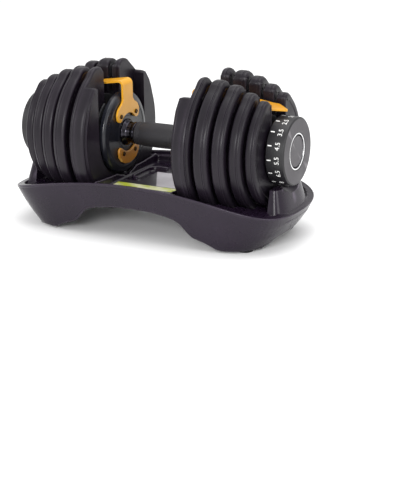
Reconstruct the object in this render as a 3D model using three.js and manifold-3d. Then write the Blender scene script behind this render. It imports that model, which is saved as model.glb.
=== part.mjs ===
// Adjustable dumbbell resting in its storage cradle.
//
// Frame: millimetres, +X along the handle (left head at -X, right head at +X),
// +Y to the rear, +Z up.  The origin is on the floor under the middle of the
// cradle.  The handle axis is parallel to X at height AXIS_Z.
//
// Each head holds five horseshoe plates, open at the top, nested in the cradle.
// The handle carries a fixed shaft, grip, collars, inner end discs and the two
// over-arm brackets that end in a pointer above each dial.  A dial at each end
// turns the selector discs that stand between the plates.

import * as THREE from 'three';
import { mergeVertices } from 'three/addons/utils/BufferGeometryUtils.js';
import Module from 'manifold-3d';

const wasm = await Module();
wasm.setup();

// ---------------------------------------------------------------- dimensions
const AXIS_Z = 125;             // handle axis above the floor

// plates: inboard x, outboard x, crown radius, hump (arm tip) height above axis
const PLATES = [
  { x0: 62.6, x1: 90.0, r: 100.0, tip: 94.0 },
  { x0: 96.0, x1: 115.2, r: 98.6, tip: 92.4 },
  { x0: 119.2, x1: 136.4, r: 93.0, tip: 87.2 },
  { x0: 140.0, x1: 156.0, r: 85.2, tip: 78.6 },
  { x0: 159.2, x1: 172.4, r: 76.4, tip: 69.4 },
];
const PLATE_STEP_X = 80.5;      // where the first plate's thick inboard part ends
const PLATE_CUT_Z = 73.0;       // flat top of that inboard part, above the axis
const RECESS_R = 61.0;          // its U-shaped recess around the inner end disc
const SLOT_W = 20.5;            // half width of the plates' open slot
const SLOT_R = 21.0;            // radius of the slot's round bottom

const SHAFT_R = 8.0, SHAFT_X = 190.0;
const GRIP_R = 16.0, GRIP_X = 38.0;
const COLLAR_X0 = 38.4, COLLAR_X1 = 55.4;
const DISC_X0 = 55.8, DISC_X1 = 66.0, DISC_R = 57.0;

const DIAL_X0 = 174.2, DIAL_X1 = 199.5, DIAL_R = 45.1, DIAL_WALL = 3.2;
const CAP_R = 20.6;

// selector discs: inboard x, outboard x, radius
const SELECTORS = [
  { x0: 74.2, x1: 77.0, r: 50.0 },
  { x0: 91.6, x1: 94.4, r: 50.0 },
  { x0: 116.1, x1: 118.3, r: 48.0 },
  { x0: 137.1, x1: 139.3, r: 46.0 },
  { x0: 156.7, x1: 158.5, r: 44.0 },
];
const HUB_R = 13.0, HUB_BORE = 8.4;

const ARM_W = 13.0, ARM_T = 3.0;            // half width and thickness of the over-arm
const ARM_Z0 = 70.5, ARM_Z1 = 54.6;         // its underside above the axis, inboard and at the pointer
const ARM_X1 = 164.0, POINTER_X = 185.5;

const RIM_MID_Z = 79.0, RIM_DROP = 29.0;     // cradle lip above the floor at mid length, and its fall 200 mm out
const RIM_X = 209.2, RIM_Y = 99.0;           // half length and half width at the lip
const RIM_WAIST = 0.6;                       // how far the long sides draw in at mid length
const BASE_Z = 2.6;                          // underside of the cradle's feet (pads below)
const BASE_SX = 0.845, BASE_SY = 0.86;       // the base outline as a share of the lip outline
const WALL = 3.6;
const WELL_GAP = 0.7;                        // plate to well clearance
const TOWER_X0 = 177.6, TOWER_X1 = 203.0, TOWER_Y = 51.0, TOWER_Z = 80.0;
const SADDLE_R = 48.0;

// ------------------------------------------------------------------ materials
const mat = (color, roughness, metalness = 0) => new THREE.MeshStandardMaterial({ color, roughness, metalness });
const M = {
  plate: mat(0x2b2a2e, 0.5, 0.1),
  cradle: mat(0x3c3642, 0.55),
  orange: mat(0xe8a02c, 0.4),
  grip: mat(0x1c1c1f, 0.7),
  chrome: mat(0xc9ccd2, 0.15, 1),
  disc: mat(0x2a2c31, 0.35, 0.1),
  dial: mat(0x202024, 0.45),
  face: mat(0x55545a, 0.4, 0.3),
  steel: mat(0x8e9196, 0.35, 1),
  selector: mat(0x303036, 0.5),
  screw: mat(0x5a4a20, 0.4, 0.8),
  rubber: mat(0x141414, 0.9),
  label: mat(0xe9ead8, 0.5),
};

// -------------------------------------------------------------------- helpers
const root = new THREE.Group();

// A closed three.js geometry as a solid, turned the right way out.
function solid(geo) {
  let g = geo.clone();
  g.deleteAttribute('normal');
  g.deleteAttribute('uv');
  g = mergeVertices(g, 1e-4);
  const p = g.attributes.position.array;
  const idx = g.index.array;
  const tri = [];
  let vol = 0;
  for (let i = 0; i < idx.length; i += 3) {
    const [a, b, c] = [idx[i], idx[i + 1], idx[i + 2]];
    if (a === b || b === c || a === c) continue;
    tri.push(a, b, c);
    const A = new THREE.Vector3().fromArray(p, a * 3);
    const B = new THREE.Vector3().fromArray(p, b * 3);
    const C = new THREE.Vector3().fromArray(p, c * 3);
    vol += A.dot(B.cross(C));
  }
  if (vol < 0) for (let i = 0; i < tri.length; i += 3) [tri[i], tri[i + 1]] = [tri[i + 1], tri[i]];
  return new wasm.Manifold(new wasm.Mesh({
    numProp: 3, vertProperties: new Float32Array(p), triVerts: new Uint32Array(tri),
  }));
}
function geometry(s) {
  const m = s.getMesh();
  const g = new THREE.BufferGeometry();
  const n = m.numProp;
  const v = new Float32Array((m.vertProperties.length / n) * 3);
  for (let i = 0; i < v.length / 3; i++) for (let k = 0; k < 3; k++) v[i * 3 + k] = m.vertProperties[i * n + k];
  g.setAttribute('position', new THREE.BufferAttribute(v, 3));
  g.setIndex(new THREE.BufferAttribute(new Uint32Array(m.triVerts), 1));
  g.computeVertexNormals();
  return g;
}
// Add a solid given about the handle axis (axis = true) or about the floor origin.
function add(name, s, material, aboutAxis = true) {
  const mesh = new THREE.Mesh(geometry(s), material);
  mesh.name = name;
  mesh.position.z = aboutAxis ? AXIS_Z : 0;
  root.add(mesh);
}
const AXES_X = new THREE.Matrix4().makeBasis(
  new THREE.Vector3(0, 1, 0), new THREE.Vector3(0, 0, 1), new THREE.Vector3(1, 0, 0));
const AXES_Y = new THREE.Matrix4().makeBasis(
  new THREE.Vector3(1, 0, 0), new THREE.Vector3(0, 0, 1), new THREE.Vector3(0, -1, 0));

const shapeOf = (pts) => new THREE.Shape(pts.map((p) => new THREE.Vector2(p[0], p[1])));

// A (y, z) outline carried from x0 to x1, with an optional chamfer at both ends.
function alongX(pts, x0, x1, bevel = 0, bevelSegments = 1) {
  const g = new THREE.ExtrudeGeometry(shapeOf(pts), {
    depth: x1 - x0 - 2 * bevel, steps: 1, curveSegments: 1,
    bevelEnabled: bevel > 0, bevelThickness: bevel, bevelSize: bevel, bevelOffset: -bevel, bevelSegments,
  });
  g.translate(0, 0, x0 + bevel);
  g.applyMatrix4(AXES_X);
  return solid(g);
}
// An (x, z) outline carried along Y from y0 to y1.
function alongY(pts, y0, y1, bevel = 0) {
  const g = new THREE.ExtrudeGeometry(shapeOf(pts), {
    depth: y1 - y0 - 2 * bevel, steps: 1, curveSegments: 1,
    bevelEnabled: bevel > 0, bevelThickness: bevel, bevelSize: bevel, bevelOffset: -bevel, bevelSegments: 1,
  });
  g.translate(0, 0, -y1 + bevel);
  g.applyMatrix4(AXES_Y);
  return solid(g);
}
// An (x, y) outline carried up from z0 to z1.
function alongUp(pts, z0, z1) {
  const g = new THREE.ExtrudeGeometry(shapeOf(pts), { depth: z1 - z0, steps: 1, curveSegments: 1, bevelEnabled: false });
  g.translate(0, 0, z0);
  return solid(g);
}
// An (x, r) profile turned about the X axis.
function turned(profile, seg = 32) {
  const g = new THREE.LatheGeometry(profile.map((p) => new THREE.Vector2(p[1], p[0])), seg);
  g.rotateZ(-Math.PI / 2);
  return solid(g);
}
function barX(r, x0, x1, seg = 32) { return turned([[x0, 0], [x0, r], [x1, r], [x1, 0]], seg); }
function postZ(r, z0, z1, x, y, seg = 20) {
  const g = new THREE.CylinderGeometry(r, r, z1 - z0, seg);
  g.rotateX(Math.PI / 2);
  g.translate(x, y, (z0 + z1) / 2);
  return solid(g);
}
function box(x0, x1, y0, y1, z0, z1) {
  const g = new THREE.BoxGeometry(x1 - x0, y1 - y0, z1 - z0);
  g.translate((x0 + x1) / 2, (y0 + y1) / 2, (z0 + z1) / 2);
  return solid(g);
}
// The mirror image across the plane x = 0.
function mirrored(s) { return s.mirror([1, 0, 0]); }

// --------------------------------------------------------------------- plates
// Horseshoe outline in (y, z) about the axis: round outside, open slot at the
// top, arm tips rounded off into two humps.
function horseshoe(r, tip, slotW, slotR, seg = 26) {
  const pts = [];
  const tipC = Math.min(34.0, r * 0.42);          // hump centre from the mid plane
  // outside arc, from the hump shoulder on +Y down round to -Y
  const a0 = Math.asin(Math.min(1, (tip - 9.5) / r));
  for (let i = 0; i <= seg; i++) {
    const a = a0 - (i / seg) * (Math.PI + 2 * a0);
    pts.push([r * Math.cos(a), r * Math.sin(a)]);
  }
  // hump on -Y
  pts.push([-(tipC + 8.0), tip - 2.4], [-tipC, tip], [-(slotW + 3.6), tip - 3.0], [-slotW, tip - 8.5]);
  // slot: down the -Y side, round bottom, up the +Y side
  const d = Math.acos(slotW / slotR);
  for (let i = 0; i <= 6; i++) {
    const a = Math.PI - d + (i / 6) * (Math.PI + 2 * d);
    pts.push([slotR * Math.cos(a), slotR * Math.sin(a)]);
  }
  pts.push([slotW, tip - 8.5], [slotW + 3.6, tip - 3.0], [tipC, tip], [tipC + 8.0, tip - 2.4]);
  return pts;
}
// The thick inboard part of the first plate: cut flat at the top, wide U recess.
function thickPart(r, cutZ, u, seg = 26) {
  const pts = [];
  const a0 = Math.asin(cutZ / r);
  for (let i = 0; i <= seg; i++) {
    const a = a0 - (i / seg) * (Math.PI + 2 * a0);
    pts.push([r * Math.cos(a), r * Math.sin(a)]);
  }
  pts.push([-(u + 4), cutZ], [-u, cutZ - 5]);
  for (let i = 0; i <= 14; i++) {
    const ang = Math.PI + (i / 14) * Math.PI;
    pts.push([u * Math.cos(ang), u * Math.sin(ang)]);
  }
  pts.push([u, cutZ - 5], [u + 4, cutZ]);
  return pts;
}
function plate(k) {
  const p = PLATES[k];
  if (k === 0) {
    const flange = alongX(horseshoe(p.r, p.tip, SLOT_W, SLOT_R), PLATE_STEP_X - 3.0, p.x1, 2.2);
    const thick = alongX(thickPart(p.r, PLATE_CUT_Z, RECESS_R), p.x0, PLATE_STEP_X, 2.0);
    return flange.add(thick);
  }
  return alongX(horseshoe(p.r, p.tip, SLOT_W, SLOT_R), p.x0, p.x1, 2.4);
}
const plateSolids = PLATES.map((_, k) => plate(k));
plateSolids.forEach((s, k) => {
  add(`right_plate_${k + 1}`, s, M.plate);
  add(`left_plate_${k + 1}`, mirrored(s), M.plate);
});

// --------------------------------------------------------------------- handle
add('handle_shaft', barX(SHAFT_R, -SHAFT_X, SHAFT_X, 24), M.steel);
add('grip_sleeve', turned([
  [-GRIP_X, SHAFT_R + 0.4], [-GRIP_X, GRIP_R - 1.0], [-GRIP_X + 1, GRIP_R], [-12, GRIP_R + 0.9], [12, GRIP_R + 0.9],
  [GRIP_X - 1, GRIP_R], [GRIP_X, GRIP_R - 1.0], [GRIP_X, SHAFT_R + 0.4], [-GRIP_X, SHAFT_R + 0.4],
], 24), M.grip);
const collar = turned([
  [COLLAR_X0, SHAFT_R + 0.4], [COLLAR_X0, 15.2], [COLLAR_X0 + 4.5, 15.2], [COLLAR_X0 + 5.5, 13.6], [COLLAR_X0 + 12.0, 14.6],
  [COLLAR_X1, 19.6], [COLLAR_X1, SHAFT_R + 0.4], [COLLAR_X0, SHAFT_R + 0.4],
], 24);
add('right_collar', collar, M.chrome);
add('left_collar', mirrored(collar), M.chrome);

// inner end disc with a slot at the bottom for the spring lock pin
const PIN_Z0 = -59.6, PIN_R = 3.0, PIN_SLOT_Z = -34.0;
const innerDisc = turned([
  [DISC_X0, SHAFT_R + 0.4], [DISC_X0, 48.5], [DISC_X0 + 1.8, 54], [DISC_X0 + 4.8, DISC_R], [DISC_X1, DISC_R],
  [DISC_X1, SHAFT_R + 0.4], [DISC_X0, SHAFT_R + 0.4],
], 30)
  .subtract(postZ(PIN_R + 0.35, -60, PIN_SLOT_Z, 61.2, 0, 12));
// holes for the bracket and retainer screws
const SCREWS = [[20, 25.5], [-20, 25.5], [15.7, -27], [-15.7, -27]];
function barAt(r, x0, x1, y, z, seg = 8) {
  return turned([[x0, 0], [x0, r], [x1, r], [x1, 0]], seg).translate([0, y, z]);
}
const SCREW_R = 1.6, HEAD_R = 3.1;
let disc = innerDisc;
for (const [y, z] of SCREWS) disc = disc.subtract(barAt(SCREW_R + 0.3, DISC_X0 - 1, DISC_X0 + 7, y, z, 8));
add('right_inner_disc', disc, M.disc);
add('left_inner_disc', mirrored(disc), M.disc);

// over-arm bracket: forked foot screwed to the inner disc, a stem up the face,
// a bend at the top and an arm that runs outboard to the pointer
const BR_X0 = DISC_X0 - 0.4 - ARM_T, BR_X1 = DISC_X0 - 0.4;
const fork = [
  [-ARM_W, 76.0], [-ARM_W, 45.5], [-17, 41.5], [-25.5, 36], [-29.5, 29], [-28, 21], [-23.5, 17], [-18.5, 18.5],
  [-14.5, 22.5], [-7.5, 26.4], [0, 27.4], [7.5, 26.4], [14.5, 22.5], [18.5, 18.5], [23.5, 17], [28, 21], [29.5, 29], [25.5, 36],
  [17, 41.5], [ARM_W, 45.5], [ARM_W, 76.0],
];
const armSide = [
  [BR_X0, 60], [BR_X1, 60], [BR_X1, ARM_Z0 - 4.0], [BR_X1 + 1.4, ARM_Z0 - 0.9], [BR_X1 + 4.5, ARM_Z0], [ARM_X1, ARM_Z1],
  [POINTER_X, ARM_Z1 - 3.1], [POINTER_X, ARM_Z1 - 3.1 + ARM_T], [ARM_X1, ARM_Z1 + ARM_T], [BR_X1 + 5.0, ARM_Z0 + ARM_T],
  [BR_X0 + 2.0, ARM_Z0 + ARM_T - 0.9], [BR_X0 + 0.6, ARM_Z0 + ARM_T - 3.2], [BR_X0, ARM_Z0 - 3.0],
];
const plan = [
  [BR_X0 - 1, -ARM_W], [ARM_X1 - 6, -ARM_W], [ARM_X1 + 3, -15.0], [POINTER_X - 0.8, -1.2], [POINTER_X, 0],
  [POINTER_X - 0.8, 1.2], [ARM_X1 + 3, 15.0], [ARM_X1 - 6, ARM_W], [BR_X0 - 1, ARM_W],
];
const planSolid = (() => {
  const g = new THREE.ExtrudeGeometry(shapeOf(plan), { depth: 60, bevelEnabled: false, steps: 1 });
  g.translate(0, 0, 40);
  return solid(g);
})();
let bracket = alongX(fork, BR_X0, BR_X1)
  .intersect(box(BR_X0 - 1, BR_X1 + 1, -40, 40, 10, ARM_Z0 - 3.0))
  .add(alongY(armSide, -16, 16).intersect(planSolid));
for (const [y, z] of SCREWS.slice(0, 2)) bracket = bracket.subtract(barAt(SCREW_R + 0.3, BR_X0 - 2, BR_X1 + 2, y, z, 8));
add('right_pointer_bracket', bracket, M.orange);
add('left_pointer_bracket', mirrored(bracket), M.orange);

// kidney-shaped retainer below the hub
const kidney = [
  [-26.5, -19.5], [-22, -17.4], [-17.6, -19.5], [-12, -23.2], [-6, -25.3], [0, -26], [6, -25.3], [12, -23.2], [17.6, -19.5], [22, -17.4],
  [26.5, -19.5], [27.6, -24.5], [25.5, -31.5], [19.5, -38], [10.5, -42], [0, -43.4], [-10.5, -42], [-19.5, -38], [-25.5, -31.5], [-27.6, -24.5],
];
let retainer = alongX(kidney, BR_X0, BR_X1);
for (const [y, z] of SCREWS.slice(2)) retainer = retainer.subtract(barAt(SCREW_R + 0.3, BR_X0 - 2, BR_X1 + 2, y, z, 8));
add('right_retainer', retainer, M.orange);
add('left_retainer', mirrored(retainer), M.orange);

// screws: round head on the bracket, shank into the disc
SCREWS.forEach(([y, z], i) => {
  const s = turned([
    [BR_X0 - 1.9, 0], [BR_X0 - 1.9, HEAD_R - 0.8], [BR_X0 - 0.3, HEAD_R], [BR_X0 - 0.3, SCREW_R],
    [DISC_X0 + 6.2, SCREW_R], [DISC_X0 + 6.2, 0],
  ], 10).translate([0, y, z]);
  const where = i < 2 ? 'bracket' : 'retainer';
  const n = i % 2 === 0 ? 'rear' : 'front';
  add(`right_${where}_screw_${n}`, s, M.screw);
  add(`left_${where}_screw_${n}`, mirrored(s), M.screw);
});

// spring lock pin and its spring, in the inner disc
const pin = postZ(PIN_R, PIN_Z0, -45.0, 61.2, 0, 12).add(postZ(1.4, -45.2, -40.6, 61.2, 0, 8));
add('right_lock_pin', pin, M.steel);
add('left_lock_pin', mirrored(pin), M.steel);
const spring = (() => {
  // a coil of round wire on a helix
  class Helix extends THREE.Curve {
    getPoint(t, target = new THREE.Vector3()) {
      const a = t * Math.PI * 2 * 3.5;
      return target.set(2.35 * Math.cos(a), 2.35 * Math.sin(a), t * 8.6);
    }
  }
  const c = [];
  for (let i = 0; i < 4; i++) c.push(new THREE.Vector2(0.38 * Math.cos(i * Math.PI / 2), 0.38 * Math.sin(i * Math.PI / 2)));
  const g = new THREE.ExtrudeGeometry(new THREE.Shape(c), { steps: 28, extrudePath: new Helix(), bevelEnabled: false });
  return solid(g).translate([61.2, 0, -44.1]);
})();
add('right_lock_spring', spring, M.steel);
add('left_lock_spring', mirrored(spring), M.steel);

// -------------------------------------------------------------- dials and discs
SELECTORS.forEach((d, k) => {
  // flange with a drive hub that reaches to the next disc; the rim has a cut-away
  // arc that decides whether the plate's tongue is held
  const next = k < 4 ? SELECTORS[k + 1].x0 - 0.4 : DIAL_X0 + 5.6;
  const start = k === 0 ? DISC_X1 + 0.8 : d.x0;
  const inboard = k === 0 ? [[start, HUB_BORE], [start, HUB_R], [d.x0, HUB_R]] : [[d.x0, HUB_BORE]];
  const body = turned([
    ...inboard, [d.x0, d.r], [d.x1, d.r], [d.x1, HUB_R], [next, HUB_R], [next, HUB_BORE], inboard[0],
  ], 24);
  const a0 = 0.9 + k * 0.7;
  const cut = [[0, 0]];
  for (let i = 0; i <= 6; i++) {
    const a = a0 + (i / 6) * 1.2;
    cut.push([90 * Math.cos(a), 90 * Math.sin(a)]);
  }
  const notch = alongX(cut, d.x0 - 1, d.x1 + 1).subtract(barX(d.r - 7, d.x0 - 2, d.x1 + 2, 20));
  const s = body.subtract(notch);
  add(`right_selector_disc_${k + 1}`, s, M.selector);
  add(`left_selector_disc_${k + 1}`, mirrored(s), M.selector);
});

const dial = turned([
  [DIAL_X0, DIAL_R - DIAL_WALL], [DIAL_X0, DIAL_R + 0.5], [DIAL_X1 - 1.4, DIAL_R], [DIAL_X1, DIAL_R - 1.8],
  [DIAL_X1, 24.6], [DIAL_X1 - 5.2, 21.4],
  [DIAL_X1 - 5.2, HUB_BORE], [DIAL_X0 + 6.0, HUB_BORE], [DIAL_X0 + 6.0, HUB_R], [DIAL_X1 - 8.6, HUB_R],
  [DIAL_X1 - 8.6, 22], [DIAL_X1 - 3.6, 27.5], [DIAL_X1 - 3.6, DIAL_R - DIAL_WALL], [DIAL_X0, DIAL_R - DIAL_WALL],
], 30);
add('right_dial', dial, M.dial);
add('left_dial', mirrored(dial), M.dial);
const cap = turned([
  [DIAL_X1 - 4.9, 0], [DIAL_X1 - 4.9, CAP_R], [DIAL_X1 - 2.0, CAP_R], [DIAL_X1 - 0.8, CAP_R - 1.2], [DIAL_X1 - 0.8, 0],
], 28);
add('right_dial_cap', cap, M.face);
add('left_dial_cap', mirrored(cap), M.face);
// bolt in the end of the shaft, under the cap
const endBolt = turned([
  [DIAL_X1 - 8.9, 0], [DIAL_X1 - 8.9, 7.2], [DIAL_X1 - 5.4, 7.2], [DIAL_X1 - 5.4, 0],
], 6);
add('right_end_nut', endBolt, M.steel);
add('left_end_nut', mirrored(endBolt), M.steel);

// --------------------------------------------------------------------- cradle
// Height of the lip above the floor.
const lipZ = (x) => RIM_MID_Z - RIM_DROP * (Math.min(Math.abs(x), 220) / 200) ** 2;
// Outline of the lip in plan: long sides drawn in at mid length, round ends.
function lipOutline(inset = 0, n = 60) {
  const pts = [];
  for (let i = 0; i < n; i++) {
    const a = (i / n) * Math.PI * 2;
    const c = Math.cos(a), s = Math.sin(a);
    const px = 7.9, py = 2.5;                       // superellipse powers
    const x = Math.sign(c) * Math.abs(c) ** (2 / px) * (RIM_X - inset);
    let y = Math.sign(s) * Math.abs(s) ** (2 / py) * (RIM_Y - inset);
    const waist = RIM_WAIST * Math.exp(-((x / 95) ** 2));
    y -= Math.sign(y) * Math.min(Math.abs(y), waist * Math.abs(s) ** 0.6);
    pts.push([x, y]);
  }
  // points along the straight stretch, where the superellipse leaves a wide gap
  const out = [];
  for (let i = 0; i < n; i++) {
    const p = pts[i], q = pts[(i + 1) % n];
    out.push(p);
    const parts = Math.max(1, Math.round(Math.hypot(q[0] - p[0], q[1] - p[1]) / 16));
    for (let k = 1; k < parts; k++) {
      const t = k / parts;
      const x = p[0] + (q[0] - p[0]) * t;
      out.push([x, p[1] + (q[1] - p[1]) * t]);
    }
  }
  return out;
}
// The lip outline drawn down to the smaller base outline, with a gentle curve.
function skirt(inset, z0, z1, steps) {
  const g = new THREE.ExtrudeGeometry(shapeOf(lipOutline(inset)), { depth: z1 - z0, steps, bevelEnabled: false });
  const p = g.attributes.position;
  for (let i = 0; i < p.count; i++) {
    const x = p.getX(i), z = z0 + p.getZ(i), top = lipZ(x);
    const t = Math.min(1, Math.max(0, (top - z) / (top - BASE_Z)));
    const f = 0.75 * t + 0.25 * t * t;
    p.setXYZ(i, x * (1 - (1 - BASE_SX) * f), p.getY(i) * (1 - (1 - BASE_SY) * f), z);
  }
  return solid(g);
}
// Everything above the lip's curve lowered by drop.
function aboveLip(drop) {
  const pts = [[-260, 130], [-260, lipZ(-220) - drop]];
  for (let x = -220; x <= 220; x += 20) pts.push([x, lipZ(x) - drop]);
  pts.push([260, lipZ(220) - drop], [260, 130]);
  return alongY(pts, -130, 130);
}
function wells(extra, x0 = 59.4, x1 = 176.8) {
  const b = [
    [x0, 0], [x0, PLATES[0].r + WELL_GAP + extra], [117.2, PLATES[0].r + WELL_GAP + extra],
    [117.2, PLATES[2].r + WELL_GAP + extra], [138.2, PLATES[2].r + WELL_GAP + extra],
    [138.2, PLATES[3].r + WELL_GAP + extra], [157.6, PLATES[3].r + WELL_GAP + extra],
    [157.6, PLATES[4].r + WELL_GAP + extra], [x1, PLATES[4].r + WELL_GAP + extra], [x1, 0],
  ];
  return turned(b, 40).translate([0, 0, AXIS_Z]);
}
const MID_X = 55.6, DECK_Z = 62.0, DECK_T = 3.5;
const SHELF = 5.0, LIP_W = 4.4;
const both = (s) => s.add(mirrored(s));
const well = both(wells(0));
const wellOut = both(wells(WALL, 59.4 - WALL, 176.8 + WALL));
const outer = skirt(0, BASE_Z, 84, 5).subtract(aboveLip(0));
// towers that stand up around the dials
function tower() {
  const pts = [];
  for (let i = 0; i <= 16; i++) {
    const a = -Math.PI / 2 + (i / 16) * Math.PI;
    const c = Math.cos(a), s = Math.sin(a);
    pts.push([TOWER_X0 + 9 + Math.abs(c) ** (2 / 2.4) * (TOWER_X1 - TOWER_X0 - 9), Math.sign(s) * Math.abs(s) ** (2 / 3.2) * TOWER_Y]);
  }
  pts.push([TOWER_X0, TOWER_Y], [TOWER_X0, -TOWER_Y]);
  const z0 = 38, z1 = TOWER_Z;
  const g = new THREE.ExtrudeGeometry(shapeOf(pts), { depth: z1 - z0, steps: 1, bevelEnabled: false });
  g.translate(0, 0, z0);
  const p = g.attributes.position;
  for (let i = 0; i < p.count; i++) {                 // outer faces lean in towards the top
    if (p.getZ(i) > z1 - 1) p.setXYZ(i, TOWER_X0 + (p.getX(i) - TOWER_X0) * 0.55, p.getY(i) * 0.77, p.getZ(i));
  }
  return solid(g);
}
const saddle = (extra) => turned([[150, 0], [150, SADDLE_R + extra], [184, SADDLE_R + extra], [194, SADDLE_R + 7 + extra], [214, SADDLE_R + 12 + extra], [240, SADDLE_R + 12 + extra], [240, 0]], 48).translate([0, 0, AXIS_Z]);
const towerTop = tower().subtract(saddle(0));
// shelf inside the raised lip
const shelf = skirt(LIP_W, 30, 90, 1).intersect(aboveLip(SHELF));
let shell = outer.subtract(shelf).add(both(towerTop));
shell = shell.subtract(well).subtract(box(-MID_X, MID_X, -84, 84, DECK_Z, 100));
// cross walls between the deck and the wells, hollowed for the inner end discs
const crossWall = alongX([[-87, 50], [-87, 74], [-83, 75.6], [-60, 73.8], [-30, 72.5], [0, 72], [30, 72.5], [60, 73.8], [83, 75.6], [87, 74], [87, 50]], MID_X, 59.4);
const discClear = turned([[50, 0], [50, DISC_R + 1.6], [62, DISC_R + 1.6], [62, 0]], 48).translate([0, 0, AXIS_Z]);
const pinNotch = box(50, 62, -8, 8, AXIS_Z - 60.1, 80);
// hooked ribs on the deck
const rib = alongUp([
  [-16, 46], [-38, 46], [-46, 38], [-46, -8], [-40, -14], [-33, -14], [-33, -9.5], [-37.5, -9.5], [-41, -6], [-41, 36], [-36, 41.5], [-16, 41.5],
], DECK_Z - 1, DECK_Z + 6.5);
shell = shell.add(both(crossWall)).subtract(both(discClear)).subtract(both(pinNotch)).add(both(rib));
// release tabs that meet the lock pins
const tab = box(55.2, 60.2, -7, 7, 26, AXIS_Z - 60.1);
shell = shell.add(both(tab));
// hollow underside: the inside of the skirt, less the floors of wells, deck and shelf
const floorOfDeck = box(-MID_X - WALL, MID_X + WALL, -90, 90, DECK_Z - DECK_T, 100);
let hollow = skirt(WALL, BASE_Z - 4, 84, 3)
  .subtract(aboveLip(SHELF + WALL))
  .subtract(wellOut).subtract(floorOfDeck)
  .subtract(both(saddle(WALL))).subtract(both(tab));
const BOSS = [[152, 58], [152, -58], [-152, 58], [-152, -58]];
for (const [x, y] of BOSS) hollow = hollow.subtract(postZ(11.5, -10, 70, x, y, 20));
shell = shell.subtract(hollow);
// arches between the feet: front to back through the middle, and at both ends
const archHalf = [[0, 46.5], [26, 46], [49, 43], [62, 40], [69, 37.5], [76, 31], [82, 24], [88, 18], [94, 15.5], [102, 13.5], [111, 10], [120, 5], [131, -2]];
const arch = alongY([...archHalf.slice(1).reverse().map(([x, z]) => [-x, z]), ...archHalf].reverse(), -120, 120)
  .subtract(wellOut).subtract(floorOfDeck).subtract(both(tab));
const endArch = alongX([[-43, -2], [-36, 9], [-27, 14], [27, 14], [36, 9], [43, -2]], 120, 240);
shell = shell.subtract(arch).subtract(both(endArch));
// sockets for the foot pads
for (const [x, y] of BOSS) shell = shell.subtract(postZ(3.2, BASE_Z - 2, BASE_Z + 6, x, y, 8));
// keep the largest connected body
const parts = shell.decompose().sort((a, b) => b.volume() - a.volume());
add('cradle_tray', parts[0], M.cradle, false);

// foot pads
const padNames = ['rear_right', 'front_right', 'rear_left', 'front_left'];
BOSS.forEach(([x, y], i) => {
  add(`foot_pad_${padNames[i]}`, postZ(10.5, 0, BASE_Z - 0.3, x, y, 16).add(postZ(2.8, BASE_Z - 0.6, BASE_Z + 5, x, y, 8)), M.rubber, false);
});

// blank label on the deck: a strip along the front and a tongue between the ribs
add('cradle_label', alongUp([
  [-52, -66], [52, -66], [52, -18], [28, -18], [28, 34], [-28, 34], [-28, -18], [-52, -18],
], DECK_Z + 0.3, DECK_Z + 0.9), M.label, false);

export default root;
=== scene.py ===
# Adjustable dumbbell in its storage cradle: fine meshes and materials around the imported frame.
import math
import bpy
import bmesh
import numpy as np
from mathutils import Matrix, Vector


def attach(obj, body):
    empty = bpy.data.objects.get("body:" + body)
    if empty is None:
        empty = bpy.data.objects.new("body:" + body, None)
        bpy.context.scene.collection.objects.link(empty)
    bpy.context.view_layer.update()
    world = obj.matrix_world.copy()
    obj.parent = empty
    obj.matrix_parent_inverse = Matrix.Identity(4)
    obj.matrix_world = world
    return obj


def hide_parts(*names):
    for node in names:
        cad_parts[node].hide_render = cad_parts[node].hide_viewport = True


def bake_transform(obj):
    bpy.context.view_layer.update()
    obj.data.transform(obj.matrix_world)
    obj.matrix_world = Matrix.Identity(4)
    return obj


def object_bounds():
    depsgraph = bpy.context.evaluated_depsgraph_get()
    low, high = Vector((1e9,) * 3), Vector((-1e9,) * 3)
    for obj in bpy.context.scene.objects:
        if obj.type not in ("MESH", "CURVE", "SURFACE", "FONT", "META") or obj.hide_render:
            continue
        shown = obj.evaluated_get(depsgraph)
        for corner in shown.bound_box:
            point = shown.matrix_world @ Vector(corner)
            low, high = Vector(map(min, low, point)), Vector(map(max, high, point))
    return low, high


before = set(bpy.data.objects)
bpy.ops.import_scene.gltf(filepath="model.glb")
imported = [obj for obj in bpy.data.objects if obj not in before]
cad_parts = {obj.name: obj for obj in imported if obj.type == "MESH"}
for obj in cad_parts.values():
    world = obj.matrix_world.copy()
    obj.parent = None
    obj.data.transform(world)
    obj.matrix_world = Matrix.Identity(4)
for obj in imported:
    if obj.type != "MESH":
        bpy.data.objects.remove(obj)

LO0, HI0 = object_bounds()
MM = 0.001
AXIS = 125.0
SIDES = (("right", 1.0), ("left", -1.0))


# ------------------------------------------------------------------ mesh tools
def vec2(p):
    return np.array(p, float)


def fillet(pts, rad, n=6, closed=True):
    """A polyline with each corner rounded to its radius."""
    pts = [vec2(p) for p in pts]
    count = len(pts)
    if not hasattr(rad, "__len__"):
        rad = [rad] * count
    out = []
    for i, p in enumerate(pts):
        if not closed and i in (0, count - 1):
            out.append(p)
            continue
        a, b = pts[i - 1], pts[(i + 1) % count]
        v1, v2 = a - p, b - p
        l1, l2 = np.linalg.norm(v1), np.linalg.norm(v2)
        v1, v2 = v1 / l1, v2 / l2
        dot = float(np.clip(v1 @ v2, -1, 1))
        ang = math.acos(dot)
        if rad[i] <= 0 or ang > math.pi - 0.02 or ang < 0.02:
            out.append(p)
            continue
        d = min(rad[i] / math.tan(ang / 2), 0.49 * min(l1, l2))
        r = d * math.tan(ang / 2)
        bis = (v1 + v2) / np.linalg.norm(v1 + v2)
        c = p + bis * (r / math.sin(ang / 2))
        s, e = p + v1 * d - c, p + v2 * d - c
        a0, a1 = math.atan2(s[1], s[0]), math.atan2(e[1], e[0])
        da = (a1 - a0 + math.pi) % (2 * math.pi) - math.pi
        for k in range(n + 1):
            t = a0 + da * k / n
            out.append(c + r * np.array([math.cos(t), math.sin(t)]))
    return out


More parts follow.
